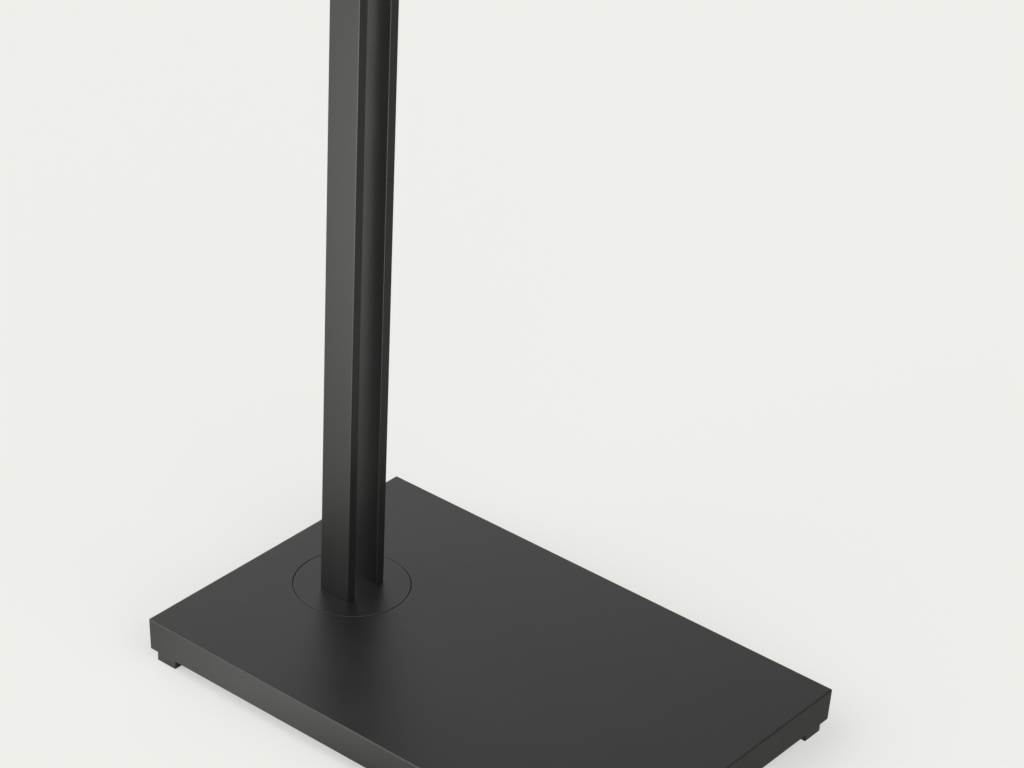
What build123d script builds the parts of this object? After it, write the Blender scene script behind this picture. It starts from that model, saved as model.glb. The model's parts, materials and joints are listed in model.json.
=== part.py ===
from build123d import *
from math import cos, radians, sin
import os

# Standing coat rack, in millimetres. The origin is on the floor under the middle of the base.
# +X runs along the base's long side away from the post, +Y along its short side, +Z up.

# ---- base ----
BASE_LENGTH = 460.0
BASE_WIDTH = 300.0
BASE_DEPTH = 28.5            # height of the cover's side walls
FLOOR_GAP = 11.5             # open height under the cover's bottom edge
SIDE_TAPER = 1.6             # degrees that the side walls lean in towards the floor
CORNER_RADIUS = 1.5
TOP_EDGE_RADIUS = 1.2
BOTTOM_EDGE_RADIUS = 0.5
COVER_SKIN = 5.0             # thickness of the cover's top
COVER_WALL = 4.0
INNER_CORNER_RADIUS = 2.0
PLATE_THICK = 2.0
PLATE_RECESS = 0.5           # the bottom plate sits this far inside the cover's bottom edge
PLATE_CLEARANCE = 2.0        # open joint round the bottom plate, wide enough for the leaning walls

# ---- feet ----
FOOT_SIZE = 20.0
FOOT_INSET = 5.0             # from the base's outline to the foot
FOOT_CORNER_RADIUS = 0.6
FOOT_EDGE_RADIUS = 0.3
FOOT_SCREW_SEAT = 4.5        # height of the screw head's seat inside the foot
CORNER_TAP_DEPTH = 15.0      # screw hole in the corner block, above the bottom plate

# ---- post ----
POST_FROM_END = 84.4         # from the base's short edge to the post's axis
POST_X = POST_FROM_END - BASE_LENGTH / 2
POST_TOP = 1750.0
BAR_WIDTH = 30.0             # broad face, along X
BAR_THICK = 9.0              # along Y
BAR_GAP = 26.0               # open slot between the two bars
BAR_EDGE_RADIUS = 0.8
BAR_Y = (BAR_GAP + BAR_THICK) / 2

# ---- swivel ----
DISC_RADIUS = 48.2
DISC_THICK = 6.0
SEAM = 0.6                   # open hairline round the disc
SEAM_EDGE_RADIUS = 0.3
HOUSING_RADIUS = 64.0
HOUSING_DEPTH = 8.0          # below the cover's top skin
HOUSING_FLOOR = 1.5          # recess floor under the spindle's flange
POCKET_ROOM = 1.3            # radial room between the disc and the housing's pocket
FLANGE_ROOM = 1.0            # radial room round the spindle's flange
WASHER_THICK = 1.45
WASHER_INNER = 28.0
WASHER_OUTER = 46.0
SPINDLE_RADIUS = 12.0
SPINDLE_FLANGE_RADIUS = 25.0
SPINDLE_FLANGE_THICK = 4.5
BUSH_WALL = 3.0
RUNNING_FIT = 0.05
PRESS_FIT = 0.02
HUB_RADIUS = 24.0
HUB_DEPTH = 7.0              # below the housing's flat underside
END_PLAY = 0.3
RETAINER_THICK = 2.0
RETAINER_RADIUS = 20.0

# ---- hooks ----
HOOK_LEVELS = (1200.0, 1350.0, 1500.0, 1650.0)
HOOK_THICK = 5.0
HOOK_WIDTH = 25.0
HOOK_FLAT = 17.5             # half length of the flat middle
HOOK_BEND = 24.0             # bend radius on the strip's middle line
HOOK_ANGLE = 50.0            # degrees that each arm rises
HOOK_REACH = 82.5            # from the post's axis to the tip
HOOK_TIP_RADIUS = 11.0
HOOK_EDGE_RADIUS = 0.8
BLOCK_HEIGHT = 20.0
SPACER_HEIGHT = 14.0
BLOCK_SETBACK = 0.2          # the blocks stay this far inside the bars' thin faces
BLOCK_CHAMFER = 0.6
LOWER_SPACER_TOP = 850.0

# ---- fasteners ----
HOLE_SLACK = 0.1             # radial room round a screw's shank
HEAD_SLACK = 0.2             # radial room round a screw's head
END_SLACK = 0.5              # room past a screw's end in its blind hole
SOCKET_SHARE = 0.55          # hexagon socket radius over the head's radius
SOCKET_DEPTH_SHARE = 0.65    # socket depth over the head's depth
THROUGH = 1.0                # how far a cutter passes the face that it opens

COVER_TOP = FLOOR_GAP + BASE_DEPTH
SKIN_BOTTOM = COVER_TOP - COVER_SKIN
PLATE_BOTTOM = FLOOR_GAP + PLATE_RECESS
PLATE_TOP = PLATE_BOTTOM + PLATE_THICK
DISC_BOTTOM = COVER_TOP - DISC_THICK
SHELF_TOP = DISC_BOTTOM - WASHER_THICK - RUNNING_FIT
HOUSING_BOTTOM = SKIN_BOTTOM - HOUSING_DEPTH
HUB_BOTTOM = HOUSING_BOTTOM - HUB_DEPTH
SPINDLE_FLANGE_BOTTOM = DISC_BOTTOM - SPINDLE_FLANGE_THICK
SPINDLE_BOTTOM = HUB_BOTTOM - END_PLAY

parts = {}


def centred(x, y, z):
    return Location((x, y, z))


def at_post(x=0, y=0, z=0):
    return Location((POST_X + x, y, z))


def disc(radius, bottom, top):
    """An upright round solid on the part's local axis."""
    body = Cylinder(radius, top - bottom, align=(Align.CENTER, Align.CENTER, Align.MIN))
    return centred(0, 0, bottom) * body


def block(length, width, bottom, top):
    body = Box(length, width, top - bottom, align=(Align.CENTER, Align.CENTER, Align.MIN))
    return centred(0, 0, bottom) * body


def flat_screw(shank, head, head_depth, length):
    """Countersunk screw: flat head at z = 0, shank pointing down, hexagon socket in the head."""
    cone = centred(0, 0, -head_depth / 2) * Cone(shank, head, head_depth)
    rod = disc(shank, -length, -head_depth)
    socket = extrude(RegularPolygon(head * SOCKET_SHARE, 6), -head_depth * SOCKET_DEPTH_SHARE)
    return cone + rod - socket


def flat_screw_hole(shank, head, head_depth, length):
    """The countersunk hole that a flat_screw of the same sizes fits."""
    cone = centred(0, 0, -head_depth / 2) * Cone(shank + HOLE_SLACK, head + HEAD_SLACK, head_depth)
    return cone + disc(shank + HOLE_SLACK, -length - THROUGH, -head_depth)


def cap_screw(shank, head, head_depth, length):
    """Cylinder head screw: head above z = 0, shank below it."""
    body = disc(head, 0, head_depth) + disc(shank, -length, 0)
    opening = centred(0, 0, head_depth) * RegularPolygon(head * SOCKET_SHARE, 6)
    return body - extrude(opening, -head_depth * SOCKET_DEPTH_SHARE)


def cap_screw_hole(shank, head, head_depth, length):
    """The counterbored hole that a cap_screw of the same sizes fits."""
    return disc(head + HEAD_SLACK, 0, head_depth + THROUGH) + disc(shank + HOLE_SLACK, -length - THROUGH, 0)


def blind_hole(screw):
    """The hole in the piece that takes a screw's end, from the screw's seat down."""
    return disc(screw["shank"] + HOLE_SLACK, -screw["length"] - END_SLACK, 0)


UPSIDE_DOWN = Location((0, 0, 0), (180, 0, 0))

FOOT_SCREW = dict(shank=2.5, head=4.5, head_depth=3.0, length=18.0)
PLATE_SCREW = dict(shank=2.0, head=4.0, head_depth=1.6, length=10.0)
HOUSING_SCREW = dict(shank=2.5, head=4.5, head_depth=3.0, length=10.5)
BALLAST_SCREW = dict(shank=3.0, head=5.5, head_depth=3.0, length=19.0)
SPINDLE_SCREW = dict(shank=2.0, head=3.6, head_depth=2.0, length=6.5)
BAR_SCREW = dict(shank=2.5, head=4.4, head_depth=2.4, length=26.0)
RETAINING_SCREW = dict(shank=5.0, head=8.5, head_depth=3.0, length=11.0)
CROSS_SCREW = dict(shank=2.5, head=5.0, head_depth=2.8, length=18.0)
HOOK_SCREW = dict(shank=2.5, head=5.0, head_depth=2.8, length=15.0)

FOOT_X = BASE_LENGTH / 2 - FOOT_INSET - FOOT_SIZE / 2
FOOT_Y = BASE_WIDTH / 2 - FOOT_INSET - FOOT_SIZE / 2
FOOT_PLACES = {
    "front_left": (-FOOT_X, -FOOT_Y),
    "front_right": (FOOT_X, -FOOT_Y),
    "back_left": (-FOOT_X, FOOT_Y),
    "back_right": (FOOT_X, FOOT_Y),
}
HOUSING_SCREW_CIRCLE = 57.0
HOUSING_SCREW_COUNT = 6
SPINDLE_SCREW_CIRCLE = 18.5
SPINDLE_SCREW_COUNT = 4
BALLAST_HOUSING_GAP = 12.0
BALLAST_END_GAP = 32.0       # from the base's free short edge
BALLAST_SIDE_GAP = 22.0      # from each of the base's long edges
BALLAST_MIN_X = POST_X + HOUSING_RADIUS + BALLAST_HOUSING_GAP
BALLAST_MAX_X = BASE_LENGTH / 2 - BALLAST_END_GAP
BALLAST_WIDTH = BASE_WIDTH - 2 * BALLAST_SIDE_GAP
BALLAST_THICK = 8.0
BALLAST_CORNER_RADIUS = 6.0
BALLAST_X = (BALLAST_MIN_X + BALLAST_MAX_X) / 2
BALLAST_LENGTH = BALLAST_MAX_X - BALLAST_MIN_X
BALLAST_BOTTOM = SKIN_BOTTOM - 2 * BALLAST_THICK
BALLAST_SCREW_EDGE = 30.0
PLATE_SCREW_INSET = 12.0     # inside the ballast's long edges
PLATE_SCREW_END = 15.0       # inside the ballast's short edges


def copies(solid, places):
    """One solid group: the same solid at each place."""
    return Compound(children=[place * solid for place in places])


def ballast_screw_places():
    half_x = BALLAST_LENGTH / 2 - BALLAST_SCREW_EDGE
    half_y = BALLAST_WIDTH / 2 - BALLAST_SCREW_EDGE
    return [centred(BALLAST_X + sx * half_x, sy * half_y, BALLAST_BOTTOM) * UPSIDE_DOWN
            for sx in (-1, 1) for sy in (-1, 1)]


def housing_screw_places():
    ring = PolarLocations(HOUSING_SCREW_CIRCLE, HOUSING_SCREW_COUNT, start_angle=180 / HOUSING_SCREW_COUNT)
    return [at_post(z=HOUSING_BOTTOM) * place * UPSIDE_DOWN for place in ring]


def plate_screw_places():
    half_y = BALLAST_WIDTH / 2 - PLATE_SCREW_INSET
    return [centred(x, side * half_y, PLATE_BOTTOM) * UPSIDE_DOWN
            for x in (BALLAST_MIN_X + PLATE_SCREW_END, BALLAST_X, BALLAST_MAX_X - PLATE_SCREW_END)
            for side in (-1, 1)]


# ---------------------------------------------------------------- base

def cover_blank(inset, top, bottom, radius):
    """A flat-topped block whose sides lean in with the cover's taper, `inset` inside its outline."""
    outline = RectangleRounded(BASE_LENGTH - 2 * inset, BASE_WIDTH - 2 * inset, radius)
    return extrude(centred(0, 0, top) * outline, -(top - bottom), taper=SIDE_TAPER)


def make_base_cover():
    shell = cover_blank(0, COVER_TOP, FLOOR_GAP, CORNER_RADIUS)
    shell = fillet(shell.faces().sort_by(Axis.Z)[-1].edges(), TOP_EDGE_RADIUS)
    shell = fillet(shell.faces().sort_by(Axis.Z)[0].edges(), BOTTOM_EDGE_RADIUS)
    shell -= cover_blank(COVER_WALL, SKIN_BOTTOM, FLOOR_GAP - THROUGH, INNER_CORNER_RADIUS)
    shell -= at_post() * disc(DISC_RADIUS + SEAM, SKIN_BOTTOM - THROUGH, COVER_TOP + THROUGH)
    round_edges = shell.edges().filter_by(GeomType.CIRCLE)
    rim = round_edges.filter_by(lambda e: e.radius > DISC_RADIUS).sort_by(Axis.Z)[-1]
    shell = fillet(rim, SEAM_EDGE_RADIUS)
    for place in housing_screw_places():
        shell -= place * blind_hole(HOUSING_SCREW)
    for place in ballast_screw_places():
        shell -= place * blind_hole(BALLAST_SCREW)
    return shell


def make_corner_block(x, y):
    """Tapped block in a corner of the cover, which takes that corner's foot screw."""
    body = centred(x, y, 0) * block(FOOT_SIZE, FOOT_SIZE, PLATE_TOP, SKIN_BOTTOM)
    body = fillet(body.edges().filter_by(Axis.Z), INNER_CORNER_RADIUS)
    hole = disc(FOOT_SCREW["shank"] + HOLE_SLACK, PLATE_TOP - THROUGH, PLATE_TOP + CORNER_TAP_DEPTH)
    return body - centred(x, y, 0) * hole


def make_foot(x, y):
    """Square moulded foot with a deep recess in its underside for the screw's head."""
    body = block(FOOT_SIZE, FOOT_SIZE, 0, PLATE_BOTTOM)
    body = fillet(body.edges().filter_by(Axis.Z), FOOT_CORNER_RADIUS)
    body = fillet(body.faces().sort_by(Axis.Z)[0].edges(), FOOT_EDGE_RADIUS)
    body -= disc(FOOT_SCREW["head"] + HEAD_SLACK, -THROUGH, FOOT_SCREW_SEAT)
    body -= disc(FOOT_SCREW["shank"] + HOLE_SLACK, FOOT_SCREW_SEAT, PLATE_BOTTOM + THROUGH)
    return centred(x, y, 0) * body


def make_foot_screws():
    screw = centred(0, 0, FOOT_SCREW_SEAT) * UPSIDE_DOWN * cap_screw(**FOOT_SCREW)
    return copies(screw, [centred(x, y, 0) for x, y in FOOT_PLACES.values()])


def make_bottom_plate():
    gap = COVER_WALL + PLATE_CLEARANCE
    outline = RectangleRounded(BASE_LENGTH - 2 * gap, BASE_WIDTH - 2 * gap, INNER_CORNER_RADIUS)
    plate = extrude(centred(0, 0, PLATE_BOTTOM) * outline, PLATE_THICK)
    for x, y in FOOT_PLACES.values():
        hole = disc(FOOT_SCREW["shank"] + HOLE_SLACK, PLATE_BOTTOM - THROUGH, PLATE_TOP + THROUGH)
        plate -= centred(x, y, 0) * hole
    for place in plate_screw_places():
        plate -= place * flat_screw_hole(**PLATE_SCREW)
    return plate


def make_ballast_plate(bottom, takes_plate_screws):
    """Steel slab that fills the free end of the cover and carries the weight."""
    slab = centred(BALLAST_X, 0, 0) * block(BALLAST_LENGTH, BALLAST_WIDTH, bottom, bottom + BALLAST_THICK)
    slab = fillet(slab.edges().filter_by(Axis.Z), BALLAST_CORNER_RADIUS)
    for place in ballast_screw_places():
        slab -= place * flat_screw_hole(**BALLAST_SCREW)
    if takes_plate_screws:
        for place in plate_screw_places():
            slab -= place * blind_hole(PLATE_SCREW)
    return slab


def make_swivel_housing():
    """Flanged cup screwed up under the cover: shelf for the thrust washer, hub for the bush."""
    body = disc(HOUSING_RADIUS, HOUSING_BOTTOM, SKIN_BOTTOM) + disc(HUB_RADIUS, HUB_BOTTOM, HOUSING_BOTTOM)
    body -= disc(DISC_RADIUS + POCKET_ROOM, SHELF_TOP, SKIN_BOTTOM + THROUGH)
    body -= disc(SPINDLE_FLANGE_RADIUS + FLANGE_ROOM, HOUSING_BOTTOM + HOUSING_FLOOR, SKIN_BOTTOM)
    body -= disc(SPINDLE_RADIUS + BUSH_WALL, HUB_BOTTOM - THROUGH, SKIN_BOTTOM)
    body = at_post() * body
    for place in housing_screw_places():
        body -= place * disc(HOUSING_SCREW["shank"] + HOLE_SLACK, -HOUSING_SCREW["length"], THROUGH)
    return body


def make_spindle_bush():
    tube = disc(SPINDLE_RADIUS + BUSH_WALL - PRESS_FIT, HUB_BOTTOM, HOUSING_BOTTOM + HOUSING_FLOOR)
    return at_post() * (tube - disc(SPINDLE_RADIUS + RUNNING_FIT, HUB_BOTTOM - THROUGH, SKIN_BOTTOM))


def make_thrust_washer():
    ring = disc(WASHER_OUTER, SHELF_TOP, SHELF_TOP + WASHER_THICK)
    return at_post() * (ring - disc(WASHER_INNER, SHELF_TOP - THROUGH, SKIN_BOTTOM))


# ---------------------------------------------------------------- post and swivel

BAR_SCREW_X = 8.0            # from the bar's middle line, for all the paired screws


def bar_screw_places():
    level = DISC_BOTTOM + BAR_SCREW["head_depth"]
    return [at_post(sx * BAR_SCREW_X, sy * BAR_Y, level) * UPSIDE_DOWN
            for sx in (-1, 1) for sy in (-1, 1)]


def spindle_screw_places():
    ring = PolarLocations(SPINDLE_SCREW_CIRCLE, SPINDLE_SCREW_COUNT)
    level = SPINDLE_FLANGE_BOTTOM + SPINDLE_SCREW["head_depth"]
    return [at_post(z=level) * place * UPSIDE_DOWN for place in ring]


def make_post_disc():
    """Round flange the post stands on, flush with the cover and free to turn in it."""
    body = disc(DISC_RADIUS, DISC_BOTTOM, COVER_TOP)
    body = at_post() * fillet(body.edges().sort_by(Axis.Z)[-1], SEAM_EDGE_RADIUS)
    for place in bar_screw_places():
        body -= place * cap_screw_hole(**BAR_SCREW)
    for place in spindle_screw_places():
        body -= place * blind_hole(SPINDLE_SCREW)
    return body


def make_spindle():
    body = disc(SPINDLE_FLANGE_RADIUS, SPINDLE_FLANGE_BOTTOM, DISC_BOTTOM)
    body += disc(SPINDLE_RADIUS, SPINDLE_BOTTOM, SPINDLE_FLANGE_BOTTOM)
    hole_top = SPINDLE_BOTTOM - RETAINER_THICK + RETAINING_SCREW["length"] + END_SLACK
    body -= disc(RETAINING_SCREW["shank"] + HOLE_SLACK, SPINDLE_BOTTOM - THROUGH, hole_top)
    body = at_post() * body
    for place in spindle_screw_places():
        body -= place * cap_screw_hole(**SPINDLE_SCREW)
    return body


def make_retaining_washer():
    bottom = SPINDLE_BOTTOM - RETAINER_THICK
    hole = disc(RETAINING_SCREW["shank"] + HOLE_SLACK, bottom - THROUGH, SPINDLE_BOTTOM + THROUGH)
    return at_post() * (disc(RETAINER_RADIUS, bottom, SPINDLE_BOTTOM) - hole)


def make_retaining_screw():
    level = SPINDLE_BOTTOM - RETAINER_THICK
    return at_post(z=level) * UPSIDE_DOWN * cap_screw(**RETAINING_SCREW)


def cross_screw_places(top, height, side):
    """Two screws side by side through one bar's broad face, level with a block's middle."""
    turn = Location((0, 0, 0), (90 if side < 0 else -90, 0, 0))
    face_y = side * (BAR_GAP / 2 + BAR_THICK)
    return [at_post(sx * BAR_SCREW_X, face_y, top - height / 2) * turn for sx in (-1, 1)]


CROSS_BLOCKS = [(level, BLOCK_HEIGHT) for level in HOOK_LEVELS]
CROSS_BLOCKS += [(LOWER_SPACER_TOP, SPACER_HEIGHT), (POST_TOP, SPACER_HEIGHT)]


def make_post_bar(side):
    body = at_post(y=side * BAR_Y) * block(BAR_WIDTH, BAR_THICK, COVER_TOP, POST_TOP)
    body = fillet(body.edges().filter_by(Axis.Z), BAR_EDGE_RADIUS)
    body = fillet(body.faces().sort_by(Axis.Z)[-1].edges(), BAR_EDGE_RADIUS / 2)
    for place in bar_screw_places():
        body -= place * blind_hole(BAR_SCREW)
    for top, height in CROSS_BLOCKS:
        for place in cross_screw_places(top, height, side):
            body -= place * flat_screw_hole(**CROSS_SCREW)
    return body


def make_cross_block(top, height):
    """Solid block that fills the slot between the bars and takes the cross screws."""
    body = at_post() * block(BAR_WIDTH - 2 * BLOCK_SETBACK, BAR_GAP, top - height, top)
    body = chamfer(body.edges().filter_by(Axis.Y), BLOCK_CHAMFER)
    for side in (-1, 1):
        for place in cross_screw_places(top, height, side):
            body -= place * blind_hole(CROSS_SCREW)
    return body


TOLERANCE = 0.01


def hook_profile():
    """Side view of the strip: flat middle, two bends and two straight arms that rise outwards."""
    half = HOOK_THICK / 2
    rise = radians(HOOK_ANGLE)
    bend_x = HOOK_FLAT + HOOK_BEND * sin(rise)
    arm = (HOOK_REACH - bend_x - half * sin(rise)) / cos(rise)

    def side_line(offset):
        radius = HOOK_BEND - offset
        start = (HOOK_FLAT, offset)
        end = (HOOK_FLAT + radius * sin(rise), HOOK_BEND - radius * cos(rise))
        tip = (end[0] + arm * cos(rise), end[1] + arm * sin(rise))
        return start, end, tip

    def halfway(offset):
        radius = HOOK_BEND - offset
        return (HOOK_FLAT + radius * sin(rise / 2), HOOK_BEND - radius * cos(rise / 2))

    upper, lower = side_line(half), side_line(-half)
    with BuildSketch(Plane.XZ) as sketch:
        with BuildLine():
            Line((0, half), upper[0])
            ThreePointArc(upper[0], halfway(half), upper[1])
            Line(upper[1], upper[2])
            Line(upper[2], lower[2])
            Line(lower[2], lower[1])
            ThreePointArc(lower[1], halfway(-half), lower[0])
            Line(lower[0], (0, -half))
            mirror(about=Plane.YZ)
        make_face()
    return sketch.sketch


def make_hook(level):
    body = extrude(hook_profile(), HOOK_WIDTH / 2, both=True)
    across = [edge for edge in body.edges() if abs(edge.length - HOOK_THICK) < TOLERANCE]
    body = fillet(across, HOOK_TIP_RADIUS)
    long_edges = [edge for edge in body.edges() if abs(edge.length - HOOK_THICK) > TOLERANCE]
    body = fillet(long_edges, HOOK_EDGE_RADIUS)
    for place in hook_screw_places(HOOK_THICK / 2):
        body -= place * flat_screw_hole(**HOOK_SCREW)
    return at_post(z=level + HOOK_THICK / 2) * body


def hook_screw_places(z):
    return [centred(sx * BAR_SCREW_X, 0, z) for sx in (-1, 1)]


def make_hook_block(level):
    body = make_cross_block(level, BLOCK_HEIGHT)
    for place in hook_screw_places(level + HOOK_THICK):
        body -= at_post() * place * blind_hole(HOOK_SCREW)
    return body


def make_cross_screws(blocks):
    places = [place for top, height in blocks for side in (-1, 1)
              for place in cross_screw_places(top, height, side)]
    return copies(flat_screw(**CROSS_SCREW), places)


def make_hook_screws():
    places = [at_post() * place for level in HOOK_LEVELS for place in hook_screw_places(level + HOOK_THICK)]
    return copies(flat_screw(**HOOK_SCREW), places)


# ---------------------------------------------------------------- assembly

parts["base_cover"] = make_base_cover()
parts["bottom_plate"] = make_bottom_plate()
parts["ballast_plate_upper"] = make_ballast_plate(BALLAST_BOTTOM + BALLAST_THICK, False)
parts["ballast_plate_lower"] = make_ballast_plate(BALLAST_BOTTOM, True)
parts["ballast_screws"] = copies(flat_screw(**BALLAST_SCREW), ballast_screw_places())
parts["plate_screws"] = copies(flat_screw(**PLATE_SCREW), plate_screw_places())
for corner, (foot_x, foot_y) in FOOT_PLACES.items():
    parts["corner_block_" + corner] = make_corner_block(foot_x, foot_y)
    parts["foot_" + corner] = make_foot(foot_x, foot_y)
parts["foot_screws"] = make_foot_screws()
parts["swivel_housing"] = make_swivel_housing()
parts["housing_screws"] = copies(cap_screw(**HOUSING_SCREW), housing_screw_places())
parts["spindle_bush"] = make_spindle_bush()
parts["thrust_washer"] = make_thrust_washer()

parts["post_disc"] = make_post_disc()
parts["spindle"] = make_spindle()
parts["spindle_screws"] = copies(cap_screw(**SPINDLE_SCREW), spindle_screw_places())
parts["retaining_washer"] = make_retaining_washer()
parts["retaining_screw"] = make_retaining_screw()
parts["post_bar_front"] = make_post_bar(-1)
parts["post_bar_back"] = make_post_bar(1)
parts["post_bar_screws"] = copies(cap_screw(**BAR_SCREW), bar_screw_places())
parts["spacer_lower"] = make_cross_block(LOWER_SPACER_TOP, SPACER_HEIGHT)
parts["spacer_top"] = make_cross_block(POST_TOP, SPACER_HEIGHT)
parts["spacer_screws"] = make_cross_screws(CROSS_BLOCKS[len(HOOK_LEVELS):])
for number, hook_level in enumerate(HOOK_LEVELS, start=1):
    parts[f"hook_{number}"] = make_hook(hook_level)
    parts[f"hook_block_{number}"] = make_hook_block(hook_level)
parts["hook_screws"] = make_hook_screws()
parts["hook_block_screws"] = make_cross_screws(CROSS_BLOCKS[:len(HOOK_LEVELS)])

os.makedirs("parts", exist_ok=True)
for name, shape in parts.items():
    export_step(shape, f"parts/{name}.step")
print(len(parts), "nodes")
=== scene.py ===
import bpy
import json
from math import atan2, cos, pi, radians, sin, sqrt, tan
from mathutils import Matrix, Vector


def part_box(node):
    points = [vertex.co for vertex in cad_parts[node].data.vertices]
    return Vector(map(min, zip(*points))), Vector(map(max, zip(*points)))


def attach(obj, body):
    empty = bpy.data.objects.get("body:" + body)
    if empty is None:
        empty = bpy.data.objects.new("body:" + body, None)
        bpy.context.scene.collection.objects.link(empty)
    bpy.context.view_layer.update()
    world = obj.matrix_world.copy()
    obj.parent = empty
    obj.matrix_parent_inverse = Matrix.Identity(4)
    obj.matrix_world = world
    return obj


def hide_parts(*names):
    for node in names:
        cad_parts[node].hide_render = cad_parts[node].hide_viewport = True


# Looks of the standing coat rack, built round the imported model. Metres, +Z up, floor at z = 0.

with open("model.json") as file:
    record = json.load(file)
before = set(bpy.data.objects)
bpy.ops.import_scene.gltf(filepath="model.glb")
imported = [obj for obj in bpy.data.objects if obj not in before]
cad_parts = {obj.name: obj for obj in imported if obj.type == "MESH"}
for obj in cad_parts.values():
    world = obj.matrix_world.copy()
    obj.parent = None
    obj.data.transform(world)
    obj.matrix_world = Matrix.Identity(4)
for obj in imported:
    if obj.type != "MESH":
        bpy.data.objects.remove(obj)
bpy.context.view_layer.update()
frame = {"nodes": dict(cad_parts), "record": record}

MM = 0.001

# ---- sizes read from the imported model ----
cover_low, cover_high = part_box("base_cover")
disc_low, disc_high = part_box("post_disc")
bar_low, bar_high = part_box("post_bar_front")
back_bar_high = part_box("post_bar_back")[1]
POST = (disc_low + disc_high) / 2
DISC_RADIUS = (disc_high.x - disc_low.x) / 2
BAR_HALF_WIDTH = (bar_high.x - bar_low.x) / 2
BAR_HALF_THICK = (bar_high.y - bar_low.y) / 2
BAR_OFFSET = back_bar_high.y - BAR_HALF_THICK

# ---- edge and detail sizes of the real metalwork ----
COVER_CORNER = 1.5 * MM
COVER_LEAST_CORNER = 0.3 * MM
COVER_TOP_EDGE = 1.2 * MM
COVER_BOTTOM_EDGE = 0.5 * MM
COVER_TAPER = radians(1.6)
COVER_SKIN = 5.0 * MM
COVER_WALL = 4.0 * MM
SEAM = 0.6 * MM
SEAM_EDGE = 0.3 * MM
FOOT_CORNER = 0.6 * MM
FOOT_EDGE = 0.3 * MM
BAR_EDGE = 0.8 * MM
SCREW_X = 8.0 * MM
SCREW_HEAD = 5.0 * MM
SCREW_HEAD_DEPTH = 2.8 * MM
SCREW_SHANK = 2.5 * MM
SCREW_LENGTH = 7.0 * MM      # the part of the shank that is modelled
SCREW_SINK = 0.15 * MM       # the head's flat lies this far under the face
HEAD_RIM = ((0.05 * MM, 0.25 * MM), (0.13 * MM, 0.05 * MM), (0.35 * MM, 0))   # (inset, drop) pairs
SOCKET_FLAT = 1.75 * MM      # half the socket's width across its flats
SOCKET_EDGE = 0.15 * MM
SOCKET_DEPTH = 1.6 * MM
HEAD_ROOM = 0.2 * MM
HOLE_DEPTH = 14.0 * MM
HOOK_THICK = 5.0 * MM
HOOK_FLAT = 17.5 * MM
HOOK_BEND = 24.0 * MM
HOOK_ANGLE = radians(50)
HOOK_TIP_RADIUS = 11.0 * MM
HOOK_EDGE = 1.1 * MM
TIP_CAP = 0.72               # the hook tip's flat end face against its full section
TIP_HALF_WIDTH = 0.4 * MM    # half of what stays straight at the very tip
BAR_TOP_EDGE = 0.5 * MM
BAR_FOOT_EDGE = 0.3 * MM
BLOCK_CHAMFER = 0.6 * MM
LEAST_RADIUS = 0.05 * MM     # corners never get sharper than this in plan


# ================================================================ mesh helpers

SMOOTH_ANGLE = 40            # degrees between two faces, above which their edge stays sharp
CHAMFER_ANGLE = 20           # the same on chamfered blocks


def new_piece(name, verts, faces, smooth_angle=SMOOTH_ANGLE):
    """A mesh object with smooth shading inside flats and bends, and sharp edges above the angle."""
    mesh = bpy.data.meshes.new(name)
    mesh.from_pydata([tuple(v) for v in verts], [], faces)
    mesh.validate()
    for polygon in mesh.polygons:
        polygon.use_smooth = True
    mesh.set_sharp_from_angle(angle=radians(smooth_angle))
    piece = bpy.data.objects.new(name, mesh)
    bpy.context.scene.collection.objects.link(piece)
    return piece


def even_normals(piece):
    """Keeps flats flat and lets the shading turn only over the rounded edges."""
    modifier = piece.modifiers.new("normals", "WEIGHTED_NORMAL")
    modifier.keep_sharp = True
    modifier.weight = 80
    return piece


def loft(name, rings, loop=False, smooth_angle=SMOOTH_ANGLE):
    """Quads between rings of equal length. A loop joins the last ring to the first, else ends are capped."""
    count = len(rings[0])
    verts = [point for ring in rings for point in ring]
    faces = []
    spans = len(rings) if loop else len(rings) - 1
    for row in range(spans):
        here, there = row * count, ((row + 1) % len(rings)) * count
        for i in range(count):
            j = (i + 1) % count
            faces.append((here + i, here + j, there + j, there + i))
    if not loop:
        for ring, start, turn in ((rings[0], 0, -1), (rings[-1], (len(rings) - 1) * count, 1)):
            hub = len(verts)
            verts.append(sum(ring, Vector()) / count)
            fan = [(start + i, start + (i + 1) % count, hub) for i in range(count)]
            faces += [face[::turn] for face in fan]
    return new_piece(name, verts, faces, smooth_angle)


def rounded_outline(half_x, half_y, radius, steps=8, side_steps=1):
    """Points of a rectangle with round corners, anticlockwise, centred on the origin."""
    signs = ((1, 1), (-1, 1), (-1, -1), (1, -1))
    arcs = []
    for corner, (sx, sy) in enumerate(signs):
        turns = [pi / 2 * (corner + i / steps) for i in range(steps + 1)]
        arcs.append([(sx * (half_x - radius) + radius * cos(a), sy * (half_y - radius) + radius * sin(a))
                     for a in turns])
    points = []
    for corner, arc in enumerate(arcs):
        points += arc
        start, end = Vector(arc[-1]), Vector(arcs[(corner + 1) % 4][0])
        points += [tuple(start.lerp(end, i / side_steps)) for i in range(1, side_steps)]
    return points


def ring_at(outline, z, centre=(0, 0)):
    return [Vector((centre[0] + x, centre[1] + y, z)) for x, y in outline]


def circle(radius, steps=96):
    return [(radius * cos(2 * pi * i / steps), radius * sin(2 * pi * i / steps)) for i in range(steps)]


def edge_steps(radius, count=5):
    """(inset, drop) pairs over a quarter round edge, from the side to the flat."""
    return [(radius * (1 - cos(pi / 2 * i / count)), radius * (1 - sin(pi / 2 * i / count)))
            for i in range(count + 1)]


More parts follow.
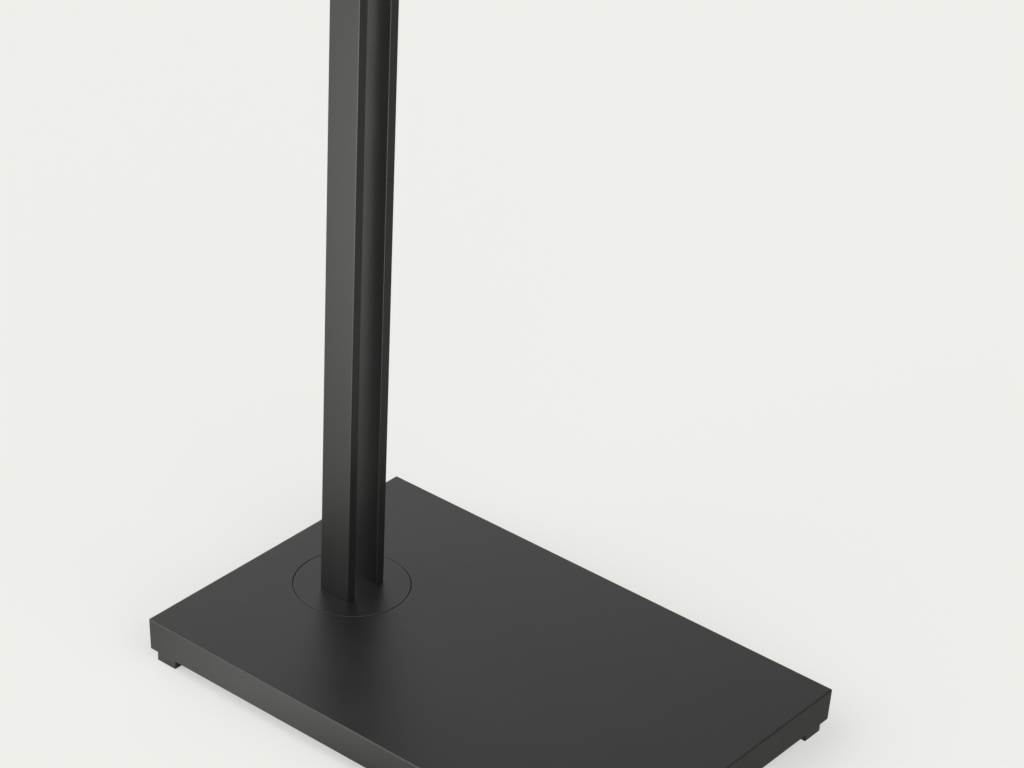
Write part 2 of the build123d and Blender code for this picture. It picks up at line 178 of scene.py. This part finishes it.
def rounded_block(name, half_x, half_y, bottom, top, corner, top_edge, bottom_edge, centre=(0, 0)):
    """Upright block with round corners in plan and round top and bottom edges."""
    rings = []
    for inset, drop in reversed(edge_steps(bottom_edge)):
        outline = rounded_outline(half_x - inset, half_y - inset, max(corner - inset, LEAST_RADIUS))
        rings.append(ring_at(outline, bottom + drop, centre))
    for inset, drop in edge_steps(top_edge):
        outline = rounded_outline(half_x - inset, half_y - inset, max(corner - inset, LEAST_RADIUS))
        rings.append(ring_at(outline, top - drop, centre))
    return loft(name, rings)


def cut(piece, cutters):
    """Takes the cutters out of the piece and bakes the result into its mesh."""
    for cutter in cutters:
        modifier = piece.modifiers.new("cut", "BOOLEAN")
        modifier.operation = "DIFFERENCE"
        modifier.solver = "EXACT"
        modifier.object = cutter
    bpy.context.view_layer.update()
    evaluated = piece.evaluated_get(bpy.context.evaluated_depsgraph_get())
    mesh = bpy.data.meshes.new_from_object(evaluated)
    piece.modifiers.clear()
    piece.data = mesh
    for cutter in cutters:
        bpy.data.objects.remove(cutter)
    mesh.set_sharp_from_angle(angle=radians(SMOOTH_ANGLE))
    return piece


def merge(name, pieces):
    """Joins several pieces into one object."""
    verts, faces = [], []
    for piece in pieces:
        start = len(verts)
        verts += [piece.matrix_world @ v.co for v in piece.data.vertices]
        faces += [tuple(start + i for i in polygon.vertices) for polygon in piece.data.polygons]
        bpy.data.objects.remove(piece)
    return even_normals(new_piece(name, verts, faces))


# ================================================================ base

def cover_outline(inset, depth):
    """The cover's outline at a depth under its top, drawn in by the side walls' taper."""
    lean = depth * tan(COVER_TAPER)
    half_x = (cover_high.x - cover_low.x) / 2 - inset - lean
    half_y = (cover_high.y - cover_low.y) / 2 - inset - lean
    radius = max(COVER_CORNER - inset, COVER_LEAST_CORNER)
    return rounded_outline(half_x, half_y, radius, steps=10, side_steps=72)


def make_base_cover():
    """Closed shell: top with the disc's hole, rounded top edge, leaning sides, lip and inside."""
    top, bottom = cover_high.z, cover_low.z
    depth = top - bottom
    hole = DISC_RADIUS + SEAM
    bearings = [atan2(y - POST.y, x - POST.x) for x, y in cover_outline(0, 0)]

    def hole_ring(radius, z):
        return [Vector((POST.x + radius * cos(a), POST.y + radius * sin(a), z)) for a in bearings]

    rings = [hole_ring(hole + inset, top - drop) for inset, drop in edge_steps(SEAM_EDGE, 3)]
    for inset, drop in reversed(edge_steps(COVER_TOP_EDGE, 7)):
        rings.append(ring_at(cover_outline(inset, drop), top - drop))
    for inset, drop in edge_steps(COVER_BOTTOM_EDGE, 4):
        rings.append(ring_at(cover_outline(inset, depth - drop), bottom + drop))
    rings.append(ring_at(cover_outline(COVER_WALL, depth), bottom))
    rings.append(ring_at(cover_outline(COVER_WALL, COVER_SKIN), top - COVER_SKIN))
    rings.append(hole_ring(hole, top - COVER_SKIN))
    return even_normals(loft("base_cover_coated", rings, loop=True))


def make_post_disc():
    """The flush disc: fine rounded rim, flat top."""
    rings = [ring_at(circle(DISC_RADIUS), disc_low.z, POST)]
    for inset, drop in edge_steps(SEAM_EDGE, 3):
        rings.append(ring_at(circle(DISC_RADIUS - inset), disc_high.z - drop, POST))
    return even_normals(loft("post_disc_coated", rings))


def make_foot(node):
    low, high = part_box(node)
    centre = (low + high) / 2
    foot = rounded_block(node + "_moulded", (high.x - low.x) / 2, (high.y - low.y) / 2, low.z, high.z,
                         FOOT_CORNER, FOOT_EDGE, FOOT_EDGE, centre)
    return even_normals(foot)


# ================================================================ post

def to_face(x, y, z, side):
    """Turns a part made along +Z so that it points out of a bar's broad face, and sets it there."""
    turn = Matrix.Rotation(pi / 2 if side < 0 else -pi / 2, 4, "X")
    return Matrix.Translation((x, y, z)) @ turn


def screw_cutter(place):
    """Countersunk hole, a little larger than the screw and open above the face."""
    head, shank = SCREW_HEAD + HEAD_ROOM, SCREW_SHANK + HEAD_ROOM
    rings = [ring_at(circle(shank, 32), -HOLE_DEPTH),
             ring_at(circle(shank, 32), -SCREW_HEAD_DEPTH),
             ring_at(circle(head, 32), 0),
             ring_at(circle(head, 32), 1 * MM)]
    cutter = loft("cutter", rings)
    cutter.matrix_world = place
    return cutter


def hexagon_radius(angle, flat):
    """Distance from the centre to a hexagon's side, in the direction of the angle."""
    return flat / cos((angle % (pi / 3)) - pi / 6)


def make_screw(name, place):
    """Countersunk screw head with a hexagon socket and rounded rim, set just under the face."""
    steps = 48
    angles = [2 * pi * i / steps for i in range(steps)]

    def ring(radius, z):
        return [Vector((radius * cos(a), radius * sin(a), z)) for a in angles]

    def hexagon(flat, z):
        reach = [hexagon_radius(a, flat) for a in angles]
        return [Vector((r * cos(a), r * sin(a), z)) for r, a in zip(reach, angles)]

    rings = [ring(SCREW_SHANK, -SCREW_LENGTH), ring(SCREW_SHANK, -SCREW_HEAD_DEPTH)]
    rings += [ring(SCREW_HEAD - inset, -SCREW_SINK - drop) for inset, drop in HEAD_RIM]
    rings += [hexagon(SOCKET_FLAT + SOCKET_EDGE, -SCREW_SINK),
              hexagon(SOCKET_FLAT, -SCREW_SINK - SOCKET_EDGE),
              hexagon(SOCKET_FLAT, -SCREW_SINK - SOCKET_DEPTH)]
    rings = [[place @ point for point in row] for row in rings]
    return loft(name, rings)


def middle_level(node):
    low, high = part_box(node)
    return (low.z + high.z) / 2


HOOKS = sorted(name for name in frame["nodes"] if name.startswith("hook_") and name[5:].isdigit())
HOOK_BLOCKS = sorted(name for name in frame["nodes"] if name.startswith("hook_block_") and name[-1].isdigit())
SPACERS = ["spacer_lower", "spacer_top"]


def face_screw_places(node, side):
    """Two screws side by side through one bar's broad face, level with a block."""
    face = side * (BAR_OFFSET + BAR_HALF_THICK)
    return [to_face(POST.x + sx * SCREW_X, face, middle_level(node), side) for sx in (-1, 1)]


def make_bar(name, side):
    bar = rounded_block(name, BAR_HALF_WIDTH, BAR_HALF_THICK, bar_low.z, bar_high.z,
                        BAR_EDGE, BAR_TOP_EDGE, BAR_FOOT_EDGE, (POST.x, side * BAR_OFFSET))
    cutters = [screw_cutter(place)
               for node in HOOK_BLOCKS + SPACERS for place in face_screw_places(node, side)]
    return even_normals(cut(bar, cutters))


def make_block(node):
    """Block between the bars: small chamfers on the two open sides."""
    low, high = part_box(node)
    edge = BLOCK_CHAMFER
    outline = [(low.x + edge, low.z), (high.x - edge, low.z), (high.x, low.z + edge), (high.x, high.z - edge),
               (high.x - edge, high.z), (low.x + edge, high.z), (low.x, high.z - edge), (low.x, low.z + edge)]
    rings = [[Vector((x, y, z)) for x, z in outline] for y in (high.y, low.y)]
    return loft(node + "_coated", rings, smooth_angle=CHAMFER_ANGLE)


# ================================================================ hooks

def hook_line(steps=14, arm_steps=10):
    """(x, z, slope, left to the tip) along one half of the strip's middle line, from its centre."""
    low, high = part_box(HOOKS[0])
    reach = (high.x - low.x) / 2 - HOOK_THICK / 2 * sin(HOOK_ANGLE)
    bend_x = HOOK_FLAT + HOOK_BEND * sin(HOOK_ANGLE)
    bend_z = HOOK_BEND * (1 - cos(HOOK_ANGLE))
    arm = (reach - bend_x) / cos(HOOK_ANGLE)
    points = [(0, 0, 0, 1)]
    for i in range(steps + 1):
        slope = HOOK_ANGLE * i / steps
        points.append((HOOK_FLAT + HOOK_BEND * sin(slope), HOOK_BEND * (1 - cos(slope)), slope, 1))
    straight = arm - HOOK_TIP_RADIUS
    for i in range(arm_steps + 1):
        run = straight + HOOK_TIP_RADIUS * sin(pi / 2 * i / arm_steps)
        points.append((bend_x + run * cos(HOOK_ANGLE), bend_z + run * sin(HOOK_ANGLE), HOOK_ANGLE, arm - run))
    return points


def make_hook(node):
    """Bent steel strip: flat middle between the bars, two bends, two arms with round tips."""
    low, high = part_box(node)
    half_width = (high.y - low.y) / 2
    half_thick = HOOK_THICK / 2
    middle = low.z + half_thick
    half = hook_line()
    line = [(-x, z, -slope, left) for x, z, slope, left in reversed(half[1:])] + half
    rings = []
    for x, z, slope, left in line:
        into_tip = max(HOOK_TIP_RADIUS - left, 0)
        width = half_width - HOOK_TIP_RADIUS + sqrt(max(HOOK_TIP_RADIUS ** 2 - into_tip ** 2, 0))
        width = max(width, half_width - HOOK_TIP_RADIUS + TIP_HALF_WIDTH)
        normal = Vector((-sin(slope), 0, cos(slope)))
        centre = Vector((POST.x + x, 0, middle + z))
        rings.append([centre + Vector((0, across, 0)) + normal * through
                      for across, through in rounded_outline(width, half_thick, HOOK_EDGE, 5)])
    rings = [tip_cap(rings[0])] + rings + [tip_cap(rings[-1])]
    hook = loft(node + "_coated", rings)
    return even_normals(cut(hook, [screw_cutter(place) for place in hook_screw_places(node)]))


def tip_cap(ring):
    """The smaller flat face that ends an arm's tip, in the plane of its last section."""
    centre = sum(ring, Vector()) / len(ring)
    return [centre + (point - centre) * TIP_CAP for point in ring]


def hook_screw_places(node):
    """Two screws side by side through the strip's flat middle, from above."""
    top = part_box(node)[0].z + HOOK_THICK
    return [Matrix.Translation((POST.x + sx * SCREW_X, 0, top)) for sx in (-1, 1)]


# ================================================================ materials

NOISE_LOW, NOISE_HIGH = 0.25, 0.75           # the span that a noise really covers
EDGE_STARTS, EDGE_FULL = 0.995, 0.90         # cosine between the true and the rounded normal
MIX_FACTOR, MIX_FIRST, MIX_SECOND = 0, 6, 7  # the mix node's sockets for colours
MIX_RESULT = 2
ROLLED = (1, 40, 40)                         # lines along X
TURNED = (40, 40, 1)                         # lines along Z


def node_tree(name):
    material = bpy.data.materials.new(name)
    material.use_nodes = True
    tree = material.node_tree
    return material, tree, tree.nodes["Principled BSDF"]


def add(tree, kind, **settings):
    node = tree.nodes.new(kind)
    for key, value in settings.items():
        if key in node.inputs:
            node.inputs[key].default_value = value
        else:
            setattr(node, key, value)
    return node


def tint(colour, factor):
    return tuple(c * factor for c in colour)


def noise(tree, scale, detail=3.0, roughness=0.5):
    """Noise fixed to the piece, between 0 and 1 and mostly near the middle."""
    coordinates = add(tree, "ShaderNodeTexCoord")
    texture = add(tree, "ShaderNodeTexNoise", Scale=scale, Detail=detail, Roughness=roughness)
    tree.links.new(coordinates.outputs["Object"], texture.inputs["Vector"])
    return texture.outputs["Fac"]


def map_range(tree, source, from_low, from_high, to_low, to_high, shape="LINEAR"):
    node = add(tree, "ShaderNodeMapRange", interpolation_type=shape)
    limits = {"From Min": from_low, "From Max": from_high, "To Min": to_low, "To Max": to_high}
    for name, value in limits.items():
        node.inputs[name].default_value = value
    tree.links.new(source, node.inputs["Value"])
    return node.outputs["Result"]


def spread(tree, source, low, high):
    """Stretches a noise over low..high."""
    return map_range(tree, source, NOISE_LOW, NOISE_HIGH, low, high)


def mix_colours(tree, factor, first, second):
    """Blends two colours, each given as a tuple or as a node's output."""
    node = add(tree, "ShaderNodeMix", data_type="RGBA")
    tree.links.new(factor, node.inputs[MIX_FACTOR])
    for socket, value in ((node.inputs[MIX_FIRST], first), (node.inputs[MIX_SECOND], second)):
        if isinstance(value, tuple):
            socket.default_value = (*value, 1)
        else:
            tree.links.new(value, socket)
    return node.outputs[MIX_RESULT]


def edge_mask(tree, radius):
    """1 on outer edges, 0 on flats: how far a rounded normal turns away from the true one."""
    bevel = add(tree, "ShaderNodeBevel", samples=4)
    bevel.inputs["Radius"].default_value = radius
    geometry = add(tree, "ShaderNodeNewGeometry")
    dot = add(tree, "ShaderNodeVectorMath", operation="DOT_PRODUCT")
    tree.links.new(bevel.outputs["Normal"], dot.inputs[0])
    tree.links.new(geometry.outputs["Normal"], dot.inputs[1])
    return map_range(tree, dot.outputs["Value"], EDGE_STARTS, EDGE_FULL, 0, 1)


def bump_from(tree, shader, layers):
    """Chains bump layers of (height output, strength, depth in metres)."""
    previous = None
    for height, strength, distance in layers:
        bump = add(tree, "ShaderNodeBump", Strength=strength, Distance=distance)
        tree.links.new(height, bump.inputs["Height"])
        if previous:
            tree.links.new(previous, bump.inputs["Normal"])
        previous = bump.outputs["Normal"]
    tree.links.new(previous, shader.inputs["Normal"])


def coating(name, colour, roughness, grain=1.0, wear=0.5):
    """Baked powder coat: fine orange peel, faint cloudy tone, edges rubbed a shade lighter."""
    material, tree, shader = node_tree(name)
    clouds = noise(tree, 9, 4, 0.6)
    speckle = noise(tree, 2600, 2, 0.5)
    peel = noise(tree, 620, 2, 0.45)
    grit = noise(tree, 2200, 3, 0.6)
    rubbed = tint(colour, 1 + wear)
    tone = mix_colours(tree, spread(tree, clouds, 0, 1), tint(colour, 0.90), tint(colour, 1.10))
    fleck = mix_colours(tree, spread(tree, speckle, 0, 0.25), tone, rubbed)
    worn = mix_colours(tree, edge_mask(tree, 1.2 * MM), fleck, rubbed)
    tree.links.new(worn, shader.inputs["Base Color"])
    handled = spread(tree, noise(tree, 34), roughness - 0.03, roughness + 0.03)
    tree.links.new(handled, shader.inputs["Roughness"])
    bump_from(tree, shader, [(peel, 0.30 * grain, 0.06 * MM), (grit, 0.35 * grain, 0.02 * MM)])
    return material


def moulded_plastic(name, colour, roughness):
    """Moulded part: fine spark texture and a slight tone drift."""
    material, tree, shader = node_tree(name)
    drift = noise(tree, 45)
    spark = noise(tree, 1800, 3, 0.6)
    tone = mix_colours(tree, spread(tree, drift, 0, 1), tint(colour, 0.85), tint(colour, 1.15))
    scuffed = mix_colours(tree, edge_mask(tree, 0.8 * MM), tone, tint(colour, 1.6))
    tree.links.new(scuffed, shader.inputs["Base Color"])
    handled = spread(tree, noise(tree, 90), roughness - 0.05, roughness + 0.06)
    tree.links.new(handled, shader.inputs["Roughness"])
    bump_from(tree, shader, [(spark, 0.5, 0.05 * MM)])
    return material


def drawn_lines(tree, stretch):
    """Noise drawn out into lines, by how much finer it is along each axis."""
    coordinates = add(tree, "ShaderNodeTexCoord")
    mapping = add(tree, "ShaderNodeMapping")
    mapping.inputs["Scale"].default_value = stretch
    texture = add(tree, "ShaderNodeTexNoise", Scale=60, Detail=4)
    tree.links.new(coordinates.outputs["Object"], mapping.inputs["Vector"])
    tree.links.new(mapping.outputs["Vector"], texture.inputs["Vector"])
    return texture.outputs["Fac"]


def bare_metal(name, colour, roughness, stretch=ROLLED, wear=0.25):
    """Rolled or turned metal: fine lines one way, tarnish clouds, bright edges."""
    material, tree, shader = node_tree(name)
    shader.inputs["Metallic"].default_value = 1.0
    lines = drawn_lines(tree, stretch)
    tarnish = noise(tree, 28, 4, 0.6)
    polished = tuple(min(c, 1) for c in tint(colour, 1 + wear))
    tone = mix_colours(tree, spread(tree, tarnish, 0, 1), tint(colour, 0.8), colour)
    bright = mix_colours(tree, edge_mask(tree, 0.6 * MM), tone, polished)
    tree.links.new(bright, shader.inputs["Base Color"])
    tree.links.new(spread(tree, lines, roughness - 0.06, roughness + 0.08), shader.inputs["Roughness"])
    bump_from(tree, shader, [(lines, 0.25, 0.03 * MM)])
    return material


FINISHES = {
    "black_powder_coat": coating("powder_coat", (0.0028, 0.0027, 0.0026), 0.42),
    "black_sheet": coating("sheet_paint", (0.010, 0.010, 0.010), 0.55, grain=0.6),
    "black_screw": bare_metal("black_oxide", (0.055, 0.053, 0.050), 0.38, wear=1.2),
    "foot_plastic": moulded_plastic("foot_plastic", (0.0085, 0.0078, 0.0072), 0.40),
    "bronze_bush": bare_metal("bronze", (0.62, 0.42, 0.22), 0.35),
    "washer_polymer": moulded_plastic("washer_polymer", (0.72, 0.70, 0.64), 0.40),
    "plain_steel": bare_metal("rolled_steel", (0.36, 0.36, 0.37), 0.42),
    "machined_steel": bare_metal("turned_steel", (0.55, 0.55, 0.56), 0.28, stretch=TURNED),
    "zinc_screw": bare_metal("zinc_plate", (0.62, 0.62, 0.58), 0.34),
}


def finish_piece(piece, body, slot, *nodes):
    piece.data.materials.clear()
    piece.data.materials.append(FINISHES[slot])
    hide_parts(*nodes)
    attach(piece, body)
    return piece


# ================================================================ pieces on their bodies

finish_piece(make_base_cover(), "base", "black_powder_coat", "base_cover")
for foot in ("foot_front_left", "foot_front_right", "foot_back_left", "foot_back_right"):
    finish_piece(make_foot(foot), "base", "foot_plastic", foot)
finish_piece(make_post_disc(), "post", "black_powder_coat", "post_disc")
finish_piece(make_bar("post_bar_front_coated", -1), "post", "black_powder_coat", "post_bar_front")
finish_piece(make_bar("post_bar_back_coated", 1), "post", "black_powder_coat", "post_bar_back")
for block_node in HOOK_BLOCKS + SPACERS:
    finish_piece(make_block(block_node), "post", "black_powder_coat", block_node)
for hook_node in HOOKS:
    finish_piece(make_hook(hook_node), "post", "black_powder_coat", hook_node)


def make_screw_group(name, places):
    return merge(name, [make_screw("screw", place) for place in places])


def both_faces(nodes):
    return [place for node in nodes for side in (-1, 1) for place in face_screw_places(node, side)]


finish_piece(make_screw_group("hook_block_screws_black", both_faces(HOOK_BLOCKS)),
             "post", "black_screw", "hook_block_screws")
finish_piece(make_screw_group("spacer_screws_black", both_faces(SPACERS)),
             "post", "black_screw", "spacer_screws")
hook_places = [place for node in HOOKS for place in hook_screw_places(node)]
finish_piece(make_screw_group("hook_screws_black", hook_places), "post", "black_screw", "hook_screws")

slots = {entry["node"]: entry["material_slot"] for entry in frame["record"]["subparts"]}
for node_name, node_object in frame["nodes"].items():
    node_object.data.materials.clear()
    node_object.data.materials.append(FINISHES[slots[node_name]])


# ================================================================ floor, light and camera

PAPER = (0.830, 0.842, 0.808)
SHADE_SHARE = 0.42           # part of the paper's brightness that shadows can take away
LIT_PAPER = 1.036            # open floor against the bare paper, so that no horizon shows
STUDIO_LEVEL = 1.473         # brightness of the studio above the floor, averaged
STUDIO_COLOUR = (1.0, 0.985, 0.975)
FLOOR_SIZE = 80.0

# A soft edge is (direction, where it starts, where it ends, light before it, light after it).
# These are in the studio round the rack, by direction.
BACK_BOARD = ((-0.94, 0.34, 0), 0.45, 0.90, 0.0, 1.0)
BACK_BOARD_TOP = ((0, 0, 1), 0.32, 0.58, 2.60, 0.04)
FRONT_BOARD = ((0, -0.99, 0.05), 0.60, 0.95, 0.12, 1.90)
FRONT_SOFTBOX = ((-0.54, -0.50, 0.68), 0.80, 0.94, 0.0, 3.50)
RIGHT_SOFTBOX = ((0.80, -0.25, 0.52), 0.60, 0.95, 0.0, 3.20)
FAR_SOFTBOX = ((0.50, 0.68, 0.54), 0.80, 0.96, 0.0, 0.15)

# These are on the floor, by place: its own glow, and one large light board in front of the rack.
FLOOR_GLOW = ((1, 0, 0), -0.5, 0.1, 0.20, 0.42)
BOARD_LIGHT = ((0, -1, 0), 0.15, 0.9, 1.25, 6.60)
BOARD_EDGES = (
    ((0.82, -0.57, 0), -0.28, 0.02, 0.05, 1.0),
    ((-0.60, -0.80, 0), 0.04, 0.25, 0.08, 1.0),
    ((-0.25, -1, 0), 0.08, 0.22, 0.0, 1.0),
    ((0, -1, 0), 1.3, 2.4, 1.0, 0.12),
)
UNDER_BASE_EDGES = (
    ((1, 0, 0), -0.24, -0.20, 0.0, 1.0),
    ((-1, 0, 0), -0.24, -0.20, 0.0, 1.0),
    ((0, 1, 0), -0.16, -0.13, 0.0, 1.0),
    ((0, -1, 0), -0.16, -0.13, 0.0, 1.0),
)
UNDER_BASE_LIGHT = 0.06      # what is left of the floor's light under the base


def opaque(colour, factor=1.0):
    return (*tint(colour, factor), 1)


def soft_edge(tree, vector, direction, starts, ends, before, after):
    """Light that changes softly with how far a vector reaches along a direction."""
    dot = add(tree, "ShaderNodeVectorMath", operation="DOT_PRODUCT")
    tree.links.new(vector, dot.inputs[0])
    dot.inputs[1].default_value = direction
    return map_range(tree, dot.outputs["Value"], starts, ends, before, after, "SMOOTHSTEP")


def chain(tree, operation, *values):
    """Adds or multiplies several values."""
    result = values[0]
    for value in values[1:]:
        node = add(tree, "ShaderNodeMath", operation=operation)
        tree.links.new(result, node.inputs[0])
        tree.links.new(value, node.inputs[1])
        result = node.outputs[0]
    return result


def by_ray(tree, for_camera, for_others):
    """The camera sees the first shader. Light and reflections come from the second."""
    rays = add(tree, "ShaderNodeLightPath")
    choose = add(tree, "ShaderNodeMixShader")
    tree.links.new(rays.outputs["Is Camera Ray"], choose.inputs[0])
    tree.links.new(for_others.outputs[0], choose.inputs[1])
    tree.links.new(for_camera.outputs[0], choose.inputs[2])
    return choose.outputs[0]


def make_floor():
    """Pale paper. Its light on the rack is brighter in front, where the light board lies."""
    half = FLOOR_SIZE / 2
    corners = [(-half, -half, 0), (half, -half, 0), (half, half, 0), (-half, half, 0)]
    floor = new_piece("studio_floor", corners, [(0, 1, 2, 3)])
    material = bpy.data.materials.new("studio_paper")
    material.use_nodes = True
    tree = material.node_tree
    tree.nodes.clear()
    lit = add(tree, "ShaderNodeBsdfDiffuse", Color=opaque(PAPER, SHADE_SHARE / STUDIO_LEVEL))
    glow = add(tree, "ShaderNodeEmission", Color=opaque(PAPER, 1 - SHADE_SHARE))
    paper = add(tree, "ShaderNodeAddShader")
    tree.links.new(lit.outputs[0], paper.inputs[0])
    tree.links.new(glow.outputs[0], paper.inputs[1])

    place = add(tree, "ShaderNodeNewGeometry").outputs["Position"]
    edges = [soft_edge(tree, place, *edge) for edge in BOARD_EDGES]
    board = chain(tree, "MULTIPLY", soft_edge(tree, place, *BOARD_LIGHT), *edges)
    under = chain(tree, "MULTIPLY", *[soft_edge(tree, place, *edge) for edge in UNDER_BASE_EDGES])
    shade = map_range(tree, under, 0, 1, 1, UNDER_BASE_LIGHT, "SMOOTHSTEP")
    level = chain(tree, "MULTIPLY", chain(tree, "ADD", soft_edge(tree, place, *FLOOR_GLOW), board), shade)
    boards = add(tree, "ShaderNodeEmission", Color=opaque(PAPER, 1 / PAPER[1]))
    tree.links.new(level, boards.inputs["Strength"])
    surface = add(tree, "ShaderNodeOutputMaterial").inputs["Surface"]
    tree.links.new(by_ray(tree, paper, boards), surface)
    floor.data.materials.append(material)


def make_world():
    """Soft studio: a low board behind, as the camera looks, one in front, and soft boxes above."""
    world = bpy.data.worlds.new("studio")
    world.use_nodes = True
    tree = world.node_tree
    tree.nodes.clear()
    direction = add(tree, "ShaderNodeTexCoord").outputs["Generated"]
    behind = chain(tree, "MULTIPLY", soft_edge(tree, direction, *BACK_BOARD),
                   soft_edge(tree, direction, *BACK_BOARD_TOP))
    lamps = [soft_edge(tree, direction, *lamp)
             for lamp in (FRONT_BOARD, FRONT_SOFTBOX, RIGHT_SOFTBOX, FAR_SOFTBOX)]
    studio = add(tree, "ShaderNodeBackground", Color=opaque(STUDIO_COLOUR))
    tree.links.new(chain(tree, "ADD", behind, *lamps), studio.inputs["Strength"])
    paper = add(tree, "ShaderNodeBackground", Color=opaque(PAPER, LIT_PAPER))
    tree.links.new(by_ray(tree, paper, studio), add(tree, "ShaderNodeOutputWorld").inputs["Surface"])
    bpy.context.scene.world = world


AZIMUTH = radians(128.36)    # of the camera's line of sight, from +X towards +Y
ELEVATION = radians(30.27)
ROLL = radians(2.84)
DISTANCE = 2.565
LENS = 113.4
SENSOR_WIDTH = 36
CLIP_END = 60
AIM = Vector((-0.0603, 0.0901, 0.2261))


def make_camera():
    forward = Vector((cos(ELEVATION) * cos(AZIMUTH), cos(ELEVATION) * sin(AZIMUTH), -sin(ELEVATION)))
    level = forward.cross(Vector((0, 0, 1))).normalized()
    upright = level.cross(forward)
    right = cos(ROLL) * level + sin(ROLL) * upright
    up = cos(ROLL) * upright - sin(ROLL) * level
    data = bpy.data.cameras.new("camera")
    data.lens = LENS
    data.sensor_width = SENSOR_WIDTH
    data.clip_end = CLIP_END
    camera = bpy.data.objects.new("camera", data)
    turn = Matrix((right, up, -forward)).transposed().to_4x4()
    camera.matrix_world = Matrix.Translation(AIM - forward * DISTANCE) @ turn
    bpy.context.scene.collection.objects.link(camera)
    bpy.context.scene.camera = camera


make_floor()
make_world()
make_camera()
bpy.context.scene.view_settings.view_transform = "Standard"
